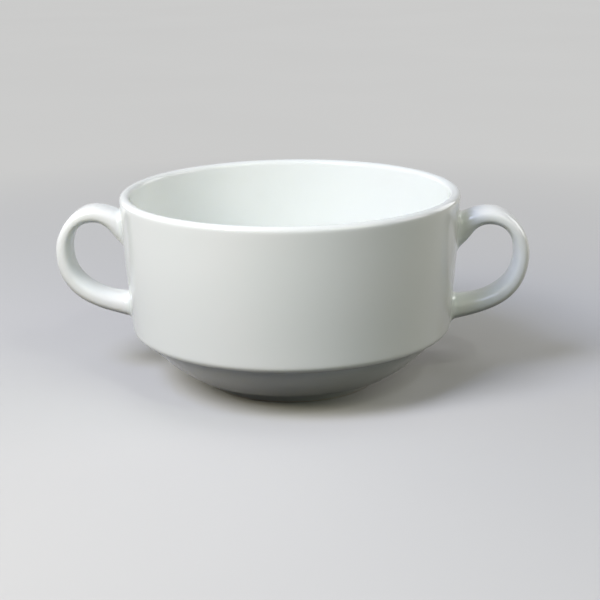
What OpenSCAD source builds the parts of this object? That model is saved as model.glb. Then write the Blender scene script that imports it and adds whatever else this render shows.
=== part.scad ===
/* [Body] */
// Outer diameter over the widest part of the rim
mouth_d = 108; // [98:1:120]
// Height from the table to the crest of the rim
cup_h = 62; // [56:1:74]
// How far the upright wall draws in between the rim and the shoulder
wall_taper = 2.2; // [0.5:0.1:4]
// Outward swell of the upright wall at its middle
wall_swell = 0.2; // [0:0.1:1]
// Height at which the upright wall starts to turn under
shoulder_h = 20.6; // [18:0.1:26]
// Radius of the turn under the upright wall
shoulder_r = 3.8; // [3:0.1:6]
// How far round the shoulder turns before it runs into the ledge, in degrees
shoulder_turn = 78; // [66:1:82]
// Width of the narrow ledge that a stacked cup comes down on
ledge_w = 0.6; // [0.5:0.1:1.2]
// Radius of the crease between the ledge and the stacking cone
crease_r = 0.8; // [0.4:0.1:1.2]

/* [Foot] */
// Diameter over the lower edge of the stacking cone
cone_d = 70.6; // [66:0.2:76]
// Outward swell of the stacking cone at its middle
cone_swell = 0.8; // [0:0.1:1.6]
// Height of the lower edge of the stacking cone
cone_h = 5; // [4.4:0.1:6.4]
// Radius of the lower edge of the stacking cone
cone_edge_r = 1.8; // [0.8:0.1:2.4]
// Outer diameter of the foot ring where it rests
foot_d = 54.6; // [50:0.2:58]
// Width of the face that the foot ring rests on
foot_face_w = 2.6; // [1.6:0.1:3.4]
// Width that the foot ring gains on each side as it rises to the underside
foot_flare = 1.2; // [0.4:0.1:1.6]
// Radius of the two edges of the resting face
foot_edge_r = 0.6; // [0.3:0.1:0.8]
// Depth of the recess inside the foot ring
foot_recess = 2.2; // [1.6:0.1:2.8]

/* [Inside] */
// Thickness of the rim
rim_t = 3.4; // [2.8:0.1:4.4]
// Thickness of the wall just above the shoulder
wall_t = 4; // [3.2:0.1:5]
// Thickness of the wall of the stacking cone
cone_t = 4.2; // [3.2:0.1:5]
// Thickness of the floor over the recess
floor_t = 4.6; // [3.6:0.1:6]
// Radius inside, where the wall turns in to the well
inner_turn_r = 9; // [5:0.5:12]
// Radius inside, round the edge of the floor
well_r = 16; // [8:1:22]

/* [Handles] */
// How far each handle stands out past the rim
handle_reach = 22; // [18:0.2:28]
// Width of the strap, side to side
handle_w = 11.6; // [9:0.2:15]
// Thickness of the strap on top, where it is level
crown_t = 5.5; // [4.6:0.1:7.5]
// Thickness of the strap at the turn between the crown and the outermost point
turn_t = 4.3; // [3.6:0.1:6]
// Thickness of the strap at its outermost point
bow_t = 5.2; // [4.5:0.1:7]
// Thickness of the strap along its lower run
low_t = 5.8; // [5:0.1:8]
// Depth of the upper root, where it leaves the wall
root_depth = 15; // [12:0.2:16]
// Centre line of the crown, below the crest of the rim
crown_drop = 7.9; // [6:0.1:10]
// Centre line of the crown, out from the rim
crown_out = 9; // [7:0.2:11]
// Outermost point of the strap, below the crest of the rim
bow_drop = 20; // [18:0.5:23]
// Centre of the upper root, below the crest of the rim
root_drop = 13.1; // [12:0.1:14]
// Climb of the strap as it leaves the upper root, in degrees
root_climb = 12; // [5:1:35]
// Centre of the lower root, above the start of the shoulder
low_root_rise = 3.2; // [2.6:0.1:5]
// Climb of the strap as it leaves the lower root, in degrees
low_root_climb = 5; // [0:1:25]
// Depth of the lower root, where it leaves the wall
low_root_depth = 8.4; // [7:0.2:10]
// Radius of the fillet where each root meets the wall
root_fillet_r = 1.2; // [0.8:0.1:2.4]
// Squareness of the strap's section, where 2 is a plain oval
strap_squareness = 2.8; // [2:0.1:3.2]

/* [Hidden] */
turn_fn = 160;
small_arc_steps = 6;
arc_steps = 10;
swell_steps = 4;
cone_steps = 5;

// Outer wall
mouth_r = mouth_d / 2;
lip_r = rim_t / 2;
waist_r = mouth_r - wall_taper;
lip_h = cup_h - lip_r;
wall_run = lip_h - shoulder_h;
shoulder_c = [waist_r - shoulder_r, shoulder_h];
shoulder_end = shoulder_c + shoulder_r * dir(-shoulder_turn);
ledge_end = shoulder_end + ledge_w * dir(-shoulder_turn - 90);

// Stacking cone
cone_low = [cone_d / 2, cone_h];
cone_dir = unit(cone_low - ledge_end);
cone_in = [cone_dir.y, -cone_dir.x];
cone_line = [
    for (i = [0:cone_steps])
        let (t = i / cone_steps)
        mix(ledge_end, cone_low, t) - cone_in * 4 * cone_swell * t * (1 - t)
];

// Foot ring
foot_r = foot_d / 2;
foot_in_r = foot_r - foot_face_w;
underside_rise = 0.6;
foot_top = [foot_r + foot_flare, foot_recess + underside_rise];
underside_fillet_r = 1.2;
recess_fillet_r = 1.4;
recess_r = foot_in_r - foot_flare / 2;

// Inside
floor_h = foot_recess + floor_t;
inner_top = [mouth_r - rim_t, lip_h];
inner_low = [waist_r - wall_t, shoulder_h];
inner_cone_at = cone_low + cone_t * cone_in;
inner_corner = cross_point(inner_top, inner_low - inner_top, inner_cone_at, cone_dir);
floor_corner = cross_point(inner_cone_at, cone_dir, [0, floor_h], [1, 0]);

// Centre line of a handle, in the plane of the handle: out from the axis, and up.
// Each pull is the share of its span that a control point stands away from its end.
root_pull = 0.22;
crown_pull_in = 0.5;
crown_pull_out = 0.6;
bow_pull_up = 0.48;
bow_pull_down = 0.77;
low_root_pull = 0.44;
high_seat_share = 0.7;
low_seat_share = 0.45;
high_seat_r = mouth_r - high_seat_share * rim_t;
low_seat_r = waist_r - low_seat_share * wall_t;
crown = [mouth_r + crown_out, cup_h - crown_drop];
bow = [mouth_r + handle_reach - bow_t / 2, cup_h - bow_drop];
high_root = [high_seat_r, cup_h - root_drop];
low_root = [low_seat_r, shoulder_h + low_root_rise];
rise_span = crown.x - high_root.x;
rise = [
    high_root,
    high_root + root_pull * rise_span * dir(root_climb),
    crown - [crown_pull_in * rise_span, 0],
    crown
];
turn = [
    crown,
    crown + [crown_pull_out * (bow.x - crown.x), 0],
    bow + [0, bow_pull_up * (crown.y - bow.y)],
    bow
];
fall = [
    bow,
    bow - [0, bow_pull_down * (bow.y - low_root.y)],
    low_root + low_root_pull * (bow.x - low_root.x) * dir(low_root_climb),
    low_root
];

// Rings along the strap. They crowd together towards both roots, where the fillets turn.
strap_steps = 16;
fall_steps = 22;
strap_sides = 24;
crowding = 1.5;

// Near a root the strap deepens by this power of the way to it, and its rings turn upright
// over this share of the curve, so that both ends lie flat inside the wall
deepening = 2.6;
high_root_zone = 1 / 2;
low_root_zone = 1 / 3;

function dir(angle) = [cos(angle), sin(angle)];
function unit(v) = v / norm(v);
function cross2(a, b) = a.x * b.y - a.y * b.x;
function mix(a, b, t) = a + (b - a) * t;
function ease(t) = t * t * (3 - 2 * t);

// Point where the line through p along u meets the line through q along v
function cross_point(p, u, q, v) = p + u * cross2(q - p, v) / cross2(u, v);

// Points on an arc, both ends included
function arc(centre, r, from, to, steps) =
    [for (i = [0:steps]) centre + r * dir(mix(from, to, i / steps))];

// Points that round the corner b between a and c
function fillet(a, b, c, r, steps) =
    let (
        u = unit(a - b),
        v = unit(c - b),
        half = acos(u * v) / 2,
        centre = b + unit(u + v) * r / sin(half),
        first = b + u * r / tan(half) - centre,
        last = b + v * r / tan(half) - centre,
        from = atan2(first.y, first.x),
        sweep = atan2(cross2(first, last), first * last)
    )
    arc(centre, r, from, from + sweep, steps);

// Point and heading on a cubic curve with four control points
function curve(c, t) =
    pow(1 - t, 3) * c[0] + 3 * pow(1 - t, 2) * t * c[1]
    + 3 * (1 - t) * t * t * c[2] + pow(t, 3) * c[3];
function heading(c, t) =
    unit(pow(1 - t, 2) * (c[1] - c[0]) + 2 * (1 - t) * t * (c[2] - c[1]) + t * t * (c[3] - c[2]));

// Radius of the outer wall at a height, from the lip down into the shoulder
function wall_r(z) =
    let (
        t = (lip_h - z) / wall_run,
        below = min(shoulder_h - z, shoulder_r)
    )
    t < 1 ? mouth_r - wall_taper * t + 4 * wall_swell * t * (1 - t)
    : shoulder_c.x + sqrt(pow(shoulder_r, 2) - pow(below, 2));

// Growth that a fillet adds at a distance from the wall
function flare(gap) =
    gap >= root_fillet_r ? 0
    : gap <= 0 ? root_fillet_r
    : root_fillet_r - sqrt(pow(root_fillet_r, 2) - pow(root_fillet_r - gap, 2));

// Thickness of the strap along each of its three curves
function rise_t(t) = mix(crown_t, root_depth, pow(1 - t, deepening));
function turn_over_t(t) =
    t < 0.5 ? mix(crown_t, turn_t, ease(2 * t)) : mix(turn_t, bow_t, ease(2 * t - 1));
function fall_t(t) =
    t < 0.5 ? mix(bow_t, low_t, ease(2 * t)) : mix(low_t, low_root_depth, pow(2 * t - 1, deepening));

// Heading of a ring at a share of its curve away from a root
function ring_heading(along, from_root, zone) =
    unit(mix([sign(along.x), 0], along, ease(min(1, from_root / zone))));

// Each ring of the strap: its centre, its heading and its thickness
strap = concat(
    [for (i = [0:strap_steps - 1])
        let (t = pow(i / strap_steps, crowding))
        [curve(rise, t), ring_heading(heading(rise, t), t, high_root_zone), rise_t(t)]],
    [for (i = [0:strap_steps - 1])
        let (t = i / strap_steps)
        [curve(turn, t), heading(turn, t), turn_over_t(t)]],
    [for (i = [0:fall_steps])
        let (t = 1 - pow(1 - i / fall_steps, crowding))
        [curve(fall, t), ring_heading(heading(fall, t), 1 - t, low_root_zone), fall_t(t)]]
);

// Rounded section: a superellipse across the strap
function bulge(x) = sign(x) * pow(abs(x), 2 / strap_squareness);
function section_point(along, t, angle) =
    let (outward = t / 2 * bulge(cos(angle)))
    [-along.y * outward, handle_w / 2 * bulge(sin(angle)), along.x * outward];

// A ring grows by the fillet where it comes close to the wall
function filleted(centre, offset) =
    let (
        p = centre + offset,
        gap = norm([p.x, p.y]) - wall_r(p.z)
    )
    p + unit(offset) * flare(gap);
function ring(at, along, t) = [
    for (k = [0:strap_sides - 1])
        filleted([at.x, 0, at.y], section_point(along, t, 360 * k / strap_sides))
];

module strap_handle() {
    points = [for (s = strap) each ring(s[0], s[1], s[2])];
    rings = len(strap);
    sides = [
        for (i = [0:rings - 2], k = [0:strap_sides - 1])
            let (
                next = (k + 1) % strap_sides,
                a = i * strap_sides + k,
                b = i * strap_sides + next,
                c = a + strap_sides,
                d = b + strap_sides
            )
            each [[a, b, d], [a, d, c]]
    ];
    first_end = [for (k = [strap_sides - 1:-1:0]) k];
    last_end = [for (k = [0:strap_sides - 1]) (rings - 1) * strap_sides + k];
    polyhedron(points, concat([first_end], sides, [last_end]), convexity = 4);
}

// Wall, shoulder, stacking cone, foot ring and well, turned from one closed outline
module turned_body() {
    outline = concat(
        arc([mouth_r - lip_r, lip_h], lip_r, 180, 0, arc_steps),
        [for (i = [1:swell_steps])
            let (z = lip_h - wall_run * i / (swell_steps + 1))
            [wall_r(z), z]],
        arc(shoulder_c, shoulder_r, 0, -shoulder_turn, arc_steps),
        fillet(shoulder_end, ledge_end, cone_line[1], crease_r, small_arc_steps),
        [for (i = [1:cone_steps - 1]) cone_line[i]],
        fillet(cone_line[cone_steps - 1], cone_low, foot_top, cone_edge_r, small_arc_steps),
        fillet(cone_low, foot_top, [foot_r, 0], underside_fillet_r, small_arc_steps),
        fillet(foot_top, [foot_r, 0], [foot_in_r, 0], foot_edge_r, small_arc_steps),
        fillet([foot_r, 0], [foot_in_r, 0], [recess_r, foot_recess], foot_edge_r, small_arc_steps),
        fillet([foot_in_r, 0], [recess_r, foot_recess], [0, foot_recess],
            recess_fillet_r, small_arc_steps),
        [[0, foot_recess], [0, floor_h]],
        fillet([0, floor_h], floor_corner, inner_corner, well_r, small_arc_steps),
        fillet(floor_corner, inner_corner, inner_top, inner_turn_r, small_arc_steps)
    );
    rotate_extrude($fn = turn_fn) polygon(outline);
}

module cup() {
    color("azure") {
        turned_body();
        strap_handle();
        mirror([1, 0, 0]) strap_handle();
    }
}

cup();
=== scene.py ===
import math

import bmesh
import bpy
import numpy as np
from mathutils import Matrix, Vector


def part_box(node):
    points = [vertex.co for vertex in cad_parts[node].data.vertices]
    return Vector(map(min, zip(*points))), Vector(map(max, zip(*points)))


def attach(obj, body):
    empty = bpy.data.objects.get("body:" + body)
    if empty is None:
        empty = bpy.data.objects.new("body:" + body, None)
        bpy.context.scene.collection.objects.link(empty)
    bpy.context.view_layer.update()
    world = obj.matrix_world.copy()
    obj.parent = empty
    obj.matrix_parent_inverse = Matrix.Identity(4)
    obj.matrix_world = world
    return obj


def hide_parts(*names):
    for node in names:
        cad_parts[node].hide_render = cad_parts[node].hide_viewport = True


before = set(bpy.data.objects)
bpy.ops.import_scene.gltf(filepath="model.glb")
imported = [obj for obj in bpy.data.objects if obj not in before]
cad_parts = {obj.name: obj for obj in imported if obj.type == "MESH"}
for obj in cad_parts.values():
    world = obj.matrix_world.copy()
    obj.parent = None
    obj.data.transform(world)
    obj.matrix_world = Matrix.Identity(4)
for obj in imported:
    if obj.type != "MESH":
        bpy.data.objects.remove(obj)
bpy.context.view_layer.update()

# Body of the cup: white porcelain, shaped in a plaster mould under a turning tool, then trimmed
# at the foot. A slightly tapered wall turns under into a drawn-in cone, which lets one cup stack
# in the next, and the cone stands on a low ring. The rim is a full round.
high_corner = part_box("cup")[1]
rim_top = high_corner.z
mouth_radius = high_corner.y
rim_thickness = 0.0034
wall_taper = 0.0026
wall_swell = 0.0002
wall_rows = 20
shoulder_height = 0.0197
shoulder_radius = 0.0026
shoulder_turn = math.radians(78)
shoulder_rows = 7
ledge_width = 0.0012
crease_radius = 0.0008
cone_edge = Vector((0.0353, 0.005))
cone_edge_round = 0.0018
cone_swell = 0.0008
cone_round = 0.049
foot_face = (0.0247, 0.0273)
foot_flare = 0.0012
foot_round = 0.0006
underside_height = 0.0028
underside_round = 0.0012
recess_depth = 0.0022
recess_round = 0.0014
floor_thickness = 0.0046
well_round = 0.016
inner_foot = Vector((0.0478, 0.0206))
inner_round = 0.009
cone_thickness = 0.0042
half_turn_steps = 64
touching = 0.000001


def heading(angle):
    return Vector((math.cos(angle), math.sin(angle)))


def crossing(p, u, q, v):
    return p + u * (q - p).cross(v) / u.cross(v)


def upright(point):
    return Vector((point.x, 0, point.y))


def half_angle(before, corner, after):
    return (before - corner).angle(after - corner) / 2


def draw_section(corners):
    """One chain of edges through the wall: a straight run towards each corner, then an arc round it."""
    section = bmesh.new()
    at = corners[0][0]
    pen = bmesh.ops.create_vert(section, co=upright(at))["vert"][0]
    for i in range(1, len(corners)):
        corner, radius, arc_steps, run_steps = corners[i]
        goal = corner
        if radius:
            back = (corners[i - 1][0] - corner).normalized()
            ahead = (corners[i + 1][0] - corner).normalized()
            half = back.angle(ahead) / 2
            goal = corner + back * radius / math.tan(half)
            centre = corner + (back + ahead).normalized() * radius / math.sin(half)
        for step in range(run_steps):
            pen = bmesh.ops.extrude_vert_indiv(section, verts=[pen])["verts"][0]
            pen.co = upright(at.lerp(goal, (step + 1) / run_steps))
        pen.co = upright(goal)
        at = goal
        if radius:
            swept = bmesh.ops.spin(
                section,
                geom=[pen],
                cent=upright(centre),
                axis=(0, math.copysign(1, back.cross(ahead)), 0),
                angle=math.pi - 2 * half,
                steps=arc_steps,
                use_merge=False,
                use_duplicate=False,
            )
            pen = [item for item in swept["geom_last"] if isinstance(item, bmesh.types.BMVert)][0]
            at = corner + ahead * radius / math.tan(half)
    return section


# The outer wall runs straight from the rim until it touches the round of the shoulder
level = Vector((1, 0))
lip_height = rim_top - rim_thickness / 2
rim_outside = Vector((mouth_radius, lip_height))
shoulder_centre = Vector((mouth_radius - wall_taper - shoulder_radius, shoulder_height))
to_rim = rim_outside - shoulder_centre
wall_lean = math.acos(shoulder_radius / to_rim.length) - math.atan2(to_rim.y, to_rim.x)
wall_out = heading(-wall_lean)
wall_down = Vector((wall_out.y, -wall_out.x))
wall_end = shoulder_centre + wall_out * shoulder_radius
shoulder_end = shoulder_centre + heading(-shoulder_turn) * shoulder_radius
shoulder_tangent = heading(-shoulder_turn - math.pi / 2)
shoulder_corner = crossing(wall_end, wall_down, shoulder_end, shoulder_tangent)
outer_rim_corner = crossing(wall_end, wall_down, Vector((0, rim_top)), level)

# A narrow ledge runs in from the shoulder to the cone. The cone swells a little, so the corner at
# its middle is rounded over its whole length
crease_corner = shoulder_end + shoulder_tangent * ledge_width
cone_down = (cone_edge - crease_corner).normalized()
cone_out = Vector((-cone_down.y, cone_down.x))
cone_middle = crease_corner.lerp(cone_edge, 0.5) + cone_out * 2 * cone_swell

# Inside, the wall and the cone follow the outside, each at its own thickness
inner_rim = Vector((mouth_radius - rim_thickness, lip_height))
inner_down = (inner_foot - inner_rim).normalized()
inner_rim_corner = crossing(inner_rim, inner_down, Vector((0, rim_top)), level)
inner_cone = cone_edge - cone_out * cone_thickness
inner_corner = crossing(inner_rim, inner_down, inner_cone, cone_down)
floor_height = recess_depth + floor_thickness
floor_corner = crossing(inner_cone, cone_down, Vector((0, floor_height)), level)
inner_rim_half = half_angle(inner_foot, inner_rim_corner, outer_rim_corner)
outer_rim_half = half_angle(inner_rim_corner, outer_rim_corner, wall_end)
rim_width = outer_rim_corner.x - inner_rim_corner.x
rim_round = rim_width / (1 / math.tan(inner_rim_half) + 1 / math.tan(outer_rim_half))

# Each corner: its place, its radius, the rows round it and the rows on the way to it
half_body = draw_section([
    (Vector((0, floor_height)), 0, 0, 0),
    (floor_corner, well_round, 7, 5),
    (inner_corner, inner_round, 7, 2),
    (inner_rim_corner, rim_round, 5, 13),
    (outer_rim_corner, rim_round, 5, 0),
    (shoulder_corner, shoulder_radius, shoulder_rows, wall_rows),
    (crease_corner, crease_radius, 3, 0),
    (cone_middle, cone_round, 8, 0),
    (cone_edge, cone_edge_round, 3, 0),
    (Vector((foot_face[1] + foot_flare, underside_height)), underside_round, 3, 4),
    (Vector((foot_face[1], 0)), foot_round, 3, 1),
    (Vector((foot_face[0], 0)), foot_round, 3, 1),
    (Vector((foot_face[0] - foot_flare / 2, recess_depth)), recess_round, 3, 1),
    (Vector((0, recess_depth)), 0, 0, 8),
])
wall_top = outer_rim_corner + wall_down * rim_round / math.tan(outer_rim_half)
wall_length = (wall_end - wall_top).length


def swell(run):
    """How far the outer wall stands out of its straight line, most at the middle of its height."""
    share = max(0, min(1, run / wall_length))
    return 16 * wall_swell * (share * (1 - share)) ** 2


for vert in half_body.verts:
    from_top = Vector((vert.co.x, vert.co.z)) - wall_top
    if abs(from_top.dot(wall_out)) < touching:
        vert.co += upright(wall_out) * swell(from_top.dot(wall_down))

# Half a turn, from the front round the side to the back. Each half of the cup starts as its copy
to_front = Matrix.Rotation(-math.pi / 2, 3, "Z")
bmesh.ops.rotate(half_body, verts=half_body.verts, cent=(0, 0, 0), matrix=to_front)
bmesh.ops.spin(
    half_body,
    geom=half_body.verts[:] + half_body.edges[:],
    cent=(0, 0, 0),
    axis=(0, 0, 1),
    angle=math.pi,
    steps=half_turn_steps,
    use_merge=False,
    use_duplicate=False,
)
bmesh.ops.remove_doubles(half_body, verts=half_body.verts, dist=touching)

# Handles: two looped straps of the same body, cast and stuck on with slip while the clay is firm.
# Each leaves the wall under the rim, turns over in a round bow and comes back to the shoulder. They
# are placed by eye, one a little lower, and the joints are smoothed with a wet brush.
strap_width = 0.0116
crown_thickness = 0.0057
turn_thickness = 0.0044
bow_thickness = 0.0052
low_thickness = 0.0061
high_root_depth = 0.0152
low_root_depth = 0.0086
strap_squareness = 2.5
deepening = 2.6
high_root_zone = 1 / 2
low_root_zone = 1 / 3
tight_fillet = 0.0012
soft_fillet = 0.002
handle_places = ((1, -0.00028), (-1, 0.00027))
crown_reach = 0.009
crown_drop = 0.0079
bow_drop = 0.02
high_root_drop = 0.0131
high_root_inset = 0.7 * rim_thickness
low_root_inset = 0.004
low_root_height = 0.0238
rise_slope = math.radians(12)
fall_slope = math.radians(5)
rise_pulls = (0.22, 0.5)
turn_pulls = (0.6, 0.48)
fall_pulls = (0.77, 0.44)
hole_columns = 8
hole_rows = 12
rails = 2 * (hole_columns + hole_rows)
fillet_rows = 5
flat_rows = 2
strap_rings = 44
root_crowding = 0.5
curve_samples = 601
halvings = 30
crown = Vector((mouth_radius + crown_reach, rim_top - crown_drop))
bow = Vector((high_corner.x - bow_thickness / 2, rim_top - bow_drop))
high_root = Vector((mouth_radius - high_root_inset, rim_top - high_root_drop))
low_root = Vector((mouth_radius - low_root_inset, low_root_height))
rise_span = crown.x - high_root.x
rise = [
    high_root,
    high_root + heading(rise_slope) * rise_pulls[0] * rise_span,
    crown - Vector((rise_pulls[1] * rise_span, 0)),
    crown,
]
turn = [
    crown,
    crown + Vector((turn_pulls[0] * (bow.x - crown.x), 0)),
    bow + Vector((0, turn_pulls[1] * (crown.y - bow.y))),
    bow,
]
fall = [
    bow,
    bow - Vector((0, fall_pulls[0] * (bow.y - low_root.y))),
    low_root + heading(fall_slope) * fall_pulls[1] * (bow.x - low_root.x),
    low_root,
]


def mix(a, b, share):
    return a + (b - a) * share


def ease(share):
    return share * share * (3 - 2 * share)


def on_curve(c, t):
    """A point of the curve that leaves the first point, heads for the next two and ends in the last."""
    u = 1 - t
    return c[0] * u ** 3 + c[1] * 3 * u ** 2 * t + c[2] * 3 * u * t * t + c[3] * t ** 3


def curve_heading(c, t):
    way = (c[1] - c[0]) * (1 - t) ** 2 + (c[2] - c[1]) * 2 * (1 - t) * t + (c[3] - c[2]) * t * t
    return way.normalized()


def turned_upright(way, from_root, zone):
    """Close to a root the strap's section stands upright, so that its end lies flat on the wall."""
    return Vector((math.copysign(1, way.x), 0)).lerp(way, ease(min(1, from_root / zone))).normalized()


def strap_station(along):
    """Centre, heading and thickness; 0 is the upper root, 1 the crown, 2 the bow, 3 the lower root."""
    if along < 1:
        way = turned_upright(curve_heading(rise, along), along, high_root_zone)
        thickness = mix(crown_thickness, high_root_depth, (1 - along) ** deepening)
        return on_curve(rise, along), way, thickness
    if along < 2:
        t = along - 1
        if t < 0.5:
            thickness = mix(crown_thickness, turn_thickness, ease(2 * t))
        else:
            thickness = mix(turn_thickness, bow_thickness, ease(2 * t - 1))
        return on_curve(turn, t), curve_heading(turn, t), thickness
    t = along - 2
    if t < 0.5:
        thickness = mix(bow_thickness, low_thickness, ease(2 * t))
    else:
        thickness = mix(low_thickness, low_root_depth, (2 * t - 1) ** deepening)
    way = turned_upright(curve_heading(fall, t), 1 - t, low_root_zone)
    return on_curve(fall, t), way, thickness


def bulge(x):
    """Turns a circle's cosine or sine into that of the strap's squarer section."""
    return math.copysign(abs(x) ** (2 / strap_squareness), x)


def strap_point(along, rail, lift):
    """A point of the strap's skin; rail 0 runs along the middle of its outer side."""
    centre, way, thickness = strap_station(along)
    angle = 2 * math.pi * rail / rails
    outward = thickness / 2 * bulge(math.cos(angle))
    across = strap_width / 2 * bulge(math.sin(angle))
    return Vector((centre.x - way.y * outward, across, centre.y + way.x * outward + lift))


def on_wall(run, across, gap):
    """A point off the outer wall by the gap; run goes down the wall and on round the shoulder."""
    if run < wall_length:
        point = wall_top + wall_down * run + wall_out * (gap + swell(run))
    else:
        angle = wall_lean + (run - wall_length) / shoulder_radius
        point = shoulder_centre + heading(-angle) * (shoulder_radius + gap)
    return Vector((math.sqrt(point.x ** 2 - across ** 2), across, point.y))


def from_wall(place):
    """Run, across and gap of a point near the outer wall."""
    point = Vector((math.hypot(place.x, place.y), place.z))
    out = point - shoulder_centre
    angle = math.atan2(-out.y, out.x)
    if angle > wall_lean:
        run = wall_length + shoulder_radius * (angle - wall_lean)
        return Vector((run, place.y, out.length - shoulder_radius))
    run = (point - wall_top).dot(wall_down)
    return Vector((run, place.y, (point - wall_top).dot(wall_out) - swell(run)))


def along_at_gap(rail, gap, inner, outer, lift):
    """How far along the strap a rail stands off the wall by the gap, found by halving."""
    for halving in range(halvings):
        middle = (inner + outer) / 2
        if from_wall(strap_point(middle, rail, lift)).z < gap:
            inner = middle
        else:
            outer = middle
    return outer


def cut_hole(half, first_run, last_run, outward):
    """Cuts out the wall's faces under a root. Returns the points round the hole in the rails' order."""
    half_width = hole_columns / 2 * math.pi / half_turn_steps
    under = []
    for face in half.faces:
        centre = face.calc_center_median()
        run, _, gap = from_wall(centre)
        if abs(gap) < rim_thickness / 4 and first_run < run < last_run and centre.x > 0:
            if abs(math.atan2(centre.y, centre.x)) < half_width:
                under.append(face)
    edges = {edge for face in under for edge in face.edges}
    bmesh.ops.delete(half, geom=under, context="FACES")
    corners = {vert for edge in edges if edge.is_valid for vert in edge.verts}
    middle = (first_run + last_run) / 2

    def place_round(point):
        """The angle round the hole, counted from just before rail 0, which so always comes first."""
        run, across, _ = from_wall(point)
        return (math.atan2(across, outward * (middle - run)) + 0.1) % (2 * math.pi)

    return sorted([vert.co.copy() for vert in corners], key=place_round)


def root_rings(hole, inner, outer, lift):
    """Rings from the hole over the wall and up the fillet, and where each rail leaves for the strap."""
    foot = []
    fillet = []
    for k in range(rails):
        foot.append(from_wall(strap_point(along_at_gap(k, 0, inner, outer, lift), k, lift)).xy)
        sideways = math.sin(2 * math.pi * k / rails) ** 2
        fillet.append(mix(tight_fillet, soft_fillet, sideways))
    middle = (foot[0] + foot[rails // 2]) / 2
    fillet_rings = []
    for i in range(fillet_rows + 1):
        angle = math.pi / 2 * i / fillet_rows
        ring = []
        for k in range(rails):
            side = foot[(k + 1) % rails] - foot[k - 1]
            away = Vector((side.y, -side.x)).normalized()
            away *= math.copysign(fillet[k] * (1 - math.sin(angle)), away.dot(foot[k] - middle))
            along = along_at_gap(k, fillet[k] * (1 - math.cos(angle)), inner, outer, lift)
            run, across, gap = from_wall(strap_point(along, k, lift))
            ring.append(on_wall(run + away.x, across + away.y, gap))
        fillet_rings.append(ring)
    flat_rings = []
    edge = [from_wall(point) for point in hole]
    rise_start = [from_wall(point) for point in fillet_rings[0]]
    for i in range(1, flat_rows + 1):
        share = i / (flat_rows + 1)
        flat_rings.append([on_wall(*a.lerp(b, share)) for a, b in zip(edge, rise_start)])
    leaves = [along_at_gap(k, fillet[k], inner, outer, lift) for k in range(rails)]
    return [hole] + flat_rings + fillet_rings, leaves


row_pitch = wall_length / wall_rows
shoulder_pitch = shoulder_radius * (shoulder_turn - wall_lean) / shoulder_rows
stations = np.linspace(0, 3, curve_samples)
centres = [strap_station(along)[0] for along in stations]
steps = [(b - a).length for a, b in zip(centres, centres[1:])]
lengths = np.concatenate([[0], np.cumsum(steps)])
cup_mesh = bpy.data.meshes.new("porcelain_cup")
cup = bmesh.new()
# Each handle: its side of the cup, and how far it sits above or below the drawn height
for way_out, lift in handle_places:
    half = half_body.copy()
    high_hole = cut_hole(half, 0, hole_rows * row_pitch, 1)
    low_top = wall_length - hole_rows / 2 * row_pitch
    low_hole = cut_hole(half, low_top, wall_length + hole_rows / 2 * shoulder_pitch, -1)
    # The numbers bound the search along the strap for the place where it meets the wall
    high_rings, high_leaves = root_rings(high_hole, 0, 0.6, lift)
    low_rings, low_leaves = root_rings(low_hole, 3, 2.5, lift)
    # Rings stand at even lengths along the strap, a little closer towards the roots
    strap = []
    for i in range(1, strap_rings):
        share = i / strap_rings
        share -= root_crowding * math.sin(2 * math.pi * share) / (2 * math.pi)
        ring = []
        for k in range(rails):
            first, last = np.interp([high_leaves[k], low_leaves[k]], stations, lengths)
            along = float(np.interp(mix(first, last, share), lengths, stations))
            ring.append(strap_point(along, k, lift))
        strap.append(ring)
    rings = high_rings + strap + low_rings[::-1]
    skin = bmesh.ops.create_grid(half, x_segments=rails, y_segments=len(rings) - 1, size=1)["verts"]
    for i, vert in enumerate(skin):
        row, rail = divmod(i, rails + 1)
        vert.co = rings[row][rail % rails]
    bmesh.ops.scale(half, verts=half.verts, vec=(way_out, 1, 1))
    half.to_mesh(cup_mesh)
    half.free()
    cup.from_mesh(cup_mesh)
half_body.free()
bmesh.ops.remove_doubles(cup, verts=cup.verts, dist=touching)
bmesh.ops.recalc_face_normals(cup, faces=cup.faces)
# Glaze runs a little thicker in hollows, at the roots and under the shoulder, and thins on edges
glaze_flow = 0.004
even_depth = 0.5
smoothing_passes = 4
smoothing = 0.6
glaze_depth = cup.verts.layers.float.new("glaze_depth")
cup.normal_update()
hollow = {}
for vert in cup.verts:
    ways = [edge.other_vert(vert).co - vert.co for edge in vert.link_edges]
    spread = sum(way.length_squared for way in ways)
    hollow[vert] = sum(way.dot(vert.normal) for way in ways) / spread * glaze_flow
for smoothing_pass in range(smoothing_passes):
    smoother = {}
    for vert, amount in hollow.items():
        around = [hollow[edge.other_vert(vert)] for edge in vert.link_edges]
        smoother[vert] = mix(amount, sum(around) / len(around), smoothing)
    hollow = smoother
for vert, amount in hollow.items():
    vert[glaze_depth] = max(0, min(1, even_depth + amount))
cup.to_mesh(cup_mesh)
cup.free()
cup_mesh.shade_smooth()
porcelain_cup = bpy.data.objects.new("porcelain_cup", cup_mesh)
bpy.context.scene.collection.objects.link(porcelain_cup)
rounding = porcelain_cup.modifiers.new("rounding", "SUBSURF")
rounding.levels = 1
rounding.render_levels = 1
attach(porcelain_cup, "root")
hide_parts("cup")

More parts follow.
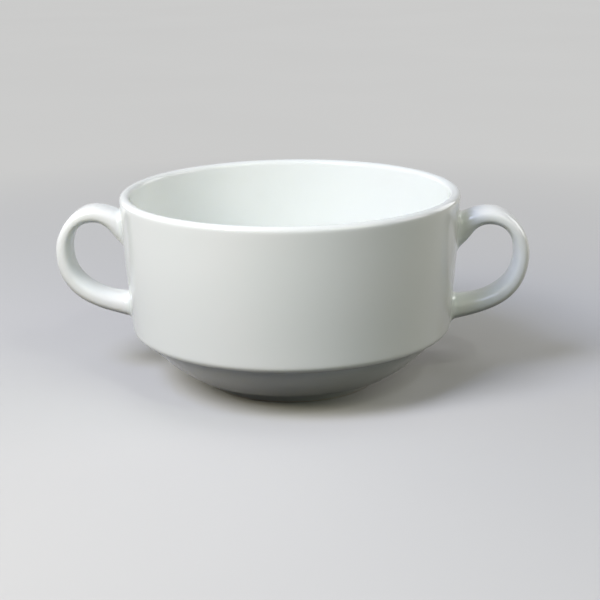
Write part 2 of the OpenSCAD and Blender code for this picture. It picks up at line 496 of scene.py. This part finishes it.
# Glaze: a clear feldspar glaze over the white body, fired on in one coat. It is glossy and a
# little green where it lies thick. The face of the foot ring is wiped bare before firing.
thin_glaze = (0.85, 0.855, 0.835, 1)
plain_glaze = (0.8, 0.83, 0.81, 1)
deep_glaze = (0.6, 0.68, 0.65, 1)
bare_body = (0.74, 0.71, 0.65, 1)
bare_height = 0.0005
bare_fade = 0.00015
bare_wobble = 0.0001
bare_roughness = 0.62
glaze_roughness = (0.045, 0.085)
depth_drift = 0.07
thin_depths = (0.15, 0.5)
deep_depths = (0.55, 0.95)
noise_span = (0.3, 0.7)
glaze = bpy.data.materials.new("white_glaze")
glaze.use_nodes = True
shader = glaze.node_tree.nodes["Principled BSDF"]


def wire(tree, kind, inputs, **settings):
    """Adds a node, sets it, and gives each of its inputs a value or a link."""
    node = tree.nodes.new("ShaderNode" + kind)
    for name, value in settings.items():
        setattr(node, name, value)
    for name, value in inputs.items():
        if isinstance(value, bpy.types.NodeSocket):
            tree.links.new(value, node.inputs[name])
        else:
            node.inputs[name].default_value = value
    return node


def noise(tree, scale, detail):
    """Soft noise through the body; the scale is in waves per metre."""
    place = wire(tree, "TexCoord", {}).outputs["Object"]
    return wire(tree, "TexNoise", {"Vector": place, "Scale": scale, "Detail": detail}).outputs["Fac"]


def ranged(tree, value, low, high, to_low, to_high):
    span = {"Value": value, "From Min": low, "From Max": high, "To Min": to_low, "To Max": to_high}
    return wire(tree, "MapRange", span).outputs["Result"]


def blended(tree, share, first, second):
    return wire(tree, "Mix", {0: share, 6: first, 7: second}, data_type="RGBA").outputs[2]


tree = glaze.node_tree
clouds = noise(tree, 38, 2)
ripple = noise(tree, 95, 1)
peel = noise(tree, 700, 2)
grain = noise(tree, 2600, 3)
depth = wire(tree, "Attribute", {}, attribute_name="glaze_depth").outputs["Fac"]
drift = ranged(tree, clouds, *noise_span, -depth_drift, depth_drift)
laid = wire(tree, "Math", {0: depth, 1: drift}, operation="ADD").outputs[0]
tint = blended(tree, ranged(tree, laid, *thin_depths, 0, 1), thin_glaze, plain_glaze)
tint = blended(tree, ranged(tree, laid, *deep_depths, 0, 1), tint, deep_glaze)
place = wire(tree, "TexCoord", {}).outputs["Object"]
height = wire(tree, "SeparateXYZ", {"Vector": place}).outputs["Z"]
wobble = ranged(tree, peel, *noise_span, -bare_wobble, bare_wobble)
wiped = wire(tree, "Math", {0: height, 1: wobble}, operation="ADD").outputs[0]
bare = ranged(tree, wiped, bare_height, bare_height + bare_fade, 1, 0)
tree.links.new(blended(tree, bare, tint, bare_body), shader.inputs["Base Color"])
gloss = ranged(tree, ripple, *noise_span, *glaze_roughness)
mat = wire(tree, "Mix", {0: bare, 2: gloss, 3: bare_roughness}).outputs[0]
tree.links.new(mat, shader.inputs["Roughness"])
# Bumps lie on each other: long waves, the glaze's fine orange peel, and grit where it is bare
grit = wire(tree, "Math", {0: grain, 1: bare}, operation="MULTIPLY").outputs[0]
bumps = (
    (ripple, 0.35, 0.0001),
    (peel, 0.12, 0.00002),
    (grit, 0.5, 0.0001),
)
below = {}
for bump_height, strength, bump_depth in bumps:
    bump = {"Height": bump_height, "Strength": strength, "Distance": bump_depth, **below}
    below = {"Normal": wire(tree, "Bump", bump).outputs[0]}
tree.links.new(below["Normal"], shader.inputs["Normal"])
cup_mesh.materials.append(glaze)

# Floor: a plain pale sheet that runs far enough back to fill the picture. Near the cup it is lit
# and takes the shadow. Further out it fades to the even tone of the backdrop.
floor_reach = 4
fade_start = 0.05
fade_end = 0.4
dark_paper = (0.595, 0.595, 0.59, 1)
light_paper = (0.605, 0.605, 0.6, 1)
bounced_paper = (0.03, 0.03, 0.03, 1)
floor_mesh = bpy.data.meshes.new("floor")
sheet = bmesh.new()
bmesh.ops.create_grid(sheet, x_segments=8, y_segments=8, size=floor_reach)
sheet.to_mesh(floor_mesh)
sheet.free()
floor = bpy.data.objects.new("floor", floor_mesh)
bpy.context.scene.collection.objects.link(floor)
pale = bpy.data.materials.new("pale_floor")
pale.use_nodes = True
tree = pale.node_tree
flecks = ranged(tree, noise(tree, 6, 3), *noise_span, 0, 1)
paper = blended(tree, flecks, dark_paper, light_paper)
shader = tree.nodes["Principled BSDF"]
shader.inputs["Roughness"].default_value = 0.8
shader.inputs["Specular IOR Level"].default_value = 0.2


def seen(tree):
    """One for what the camera, a reflection or a clear body sees, none for light that only bounces."""
    path = wire(tree, "LightPath", {}).outputs
    either = {0: path["Is Camera Ray"], 1: path["Is Glossy Ray"]}
    either = wire(tree, "Math", either, operation="MAXIMUM").outputs[0]
    any_way = {0: either, 1: path["Is Transmission Ray"]}
    return wire(tree, "Math", any_way, operation="MAXIMUM").outputs[0]


tree.links.new(blended(tree, seen(tree), bounced_paper, paper), shader.inputs["Base Color"])
place = wire(tree, "TexCoord", {}).outputs["Object"]
reach = wire(tree, "VectorMath", {0: place}, operation="LENGTH").outputs["Value"]
distance = ranged(tree, reach, fade_start, fade_end, 0, 1)
fade = wire(tree, "Math", {0: distance, 1: seen(tree)}, operation="MULTIPLY").outputs[0]
even = wire(tree, "Emission", {"Color": paper, "Strength": 1}).outputs[0]
surface = wire(tree, "MixShader", {0: fade, 1: shader.outputs[0], 2: even}).outputs[0]
tree.links.new(surface, tree.nodes["Material Output"].inputs["Surface"])
floor_mesh.materials.append(pale)

# Light: a warm lamp close by on the left and a large cool one high behind it, like a window. Weak
# lamps open up both sides and the back, and a small one on the right gives sharp sparkles.
cup_middle = Vector((0, 0, 0.03))
bounced_room = (0.02, 0.02, 0.02, 1)
seen_room = (0.6, 0.6, 0.595, 1)
# Each lamp: its place, the side of its square, its power and its colour
lamps = (
    ("key_lamp", (-0.27, -0.27, 0.3), 0.2, 1.35, (1, 0.905, 0.65)),
    ("high_lamp", (-0.42, -0.5, 0.75), 0.4, 6.6, (0.62, 0.695, 1)),
    ("left_lamp", (-0.75, 0, 0.5), 0.5, 0.8, (0.73, 0.87, 1)),
    ("right_lamp", (0.55, -0.5, 0.5), 0.5, 1.5, (0.91, 1, 0.72)),
    ("high_right_lamp", (0.5, -0.2, 0.85), 0.4, 0.4, (0.8, 0.8, 1)),
    ("side_lamp", (0.85, 0.05, 0.4), 0.4, 1.2, (1, 0.83, 0.87)),
    ("back_left_lamp", (-0.65, 0.55, 0.3), 0.4, 1.4, (1, 1, 1)),
    ("back_right_lamp", (0.65, 0.55, 0.3), 0.4, 1.4, (1, 1, 1)),
    ("small_lamp", (0.35, -0.55, 0.75), 0.03, 0.5, (1, 1, 1)),
)
for name, place, size, power, colour in lamps:
    lamp = bpy.data.lights.new(name, "AREA")
    lamp.shape = "SQUARE"
    lamp.size = size
    lamp.energy = power
    lamp.color = colour
    lamp_object = bpy.data.objects.new(name, lamp)
    lamp_object.location = place
    lamp_object.rotation_euler = (cup_middle - Vector(place)).to_track_quat("-Z", "Y").to_euler()
    bpy.context.scene.collection.objects.link(lamp_object)
world = bpy.data.worlds.new("room")
world.use_nodes = True
tree = world.node_tree
room_tone = blended(tree, seen(tree), bounced_room, seen_room)
tree.links.new(room_tone, tree.nodes["Background"].inputs["Color"])
bpy.context.scene.world = world

# Camera: a long lens at the photograph's angle, a little above the rim. It is rolled and shifted
# slightly, as the photograph is framed.
aim_point = Vector((0, 0, 0.030845))
camera_distance = 0.45968
camera_height_angle = math.radians(15.4)
camera_side_angle = math.radians(4)
camera_roll = math.radians(-0.905)
sensor_width = 36
lens_length = 85.33
frame_shift = (0.01462, -0.02721)
camera_data = bpy.data.cameras.new("camera")
camera_data.sensor_width = sensor_width
camera_data.lens = lens_length
camera_data.shift_x, camera_data.shift_y = frame_shift
camera = bpy.data.objects.new("camera", camera_data)
bpy.context.scene.collection.objects.link(camera)
flat = math.cos(camera_height_angle)
offset = Vector((
    flat * math.sin(camera_side_angle),
    -flat * math.cos(camera_side_angle),
    math.sin(camera_height_angle),
))
camera.location = aim_point + offset * camera_distance
aim = (-offset).to_track_quat("-Z", "Y").to_matrix() @ Matrix.Rotation(camera_roll, 3, "Z")
camera.rotation_euler = aim.to_euler()
bpy.context.scene.camera = camera
bpy.context.scene.view_settings.view_transform = "Standard"
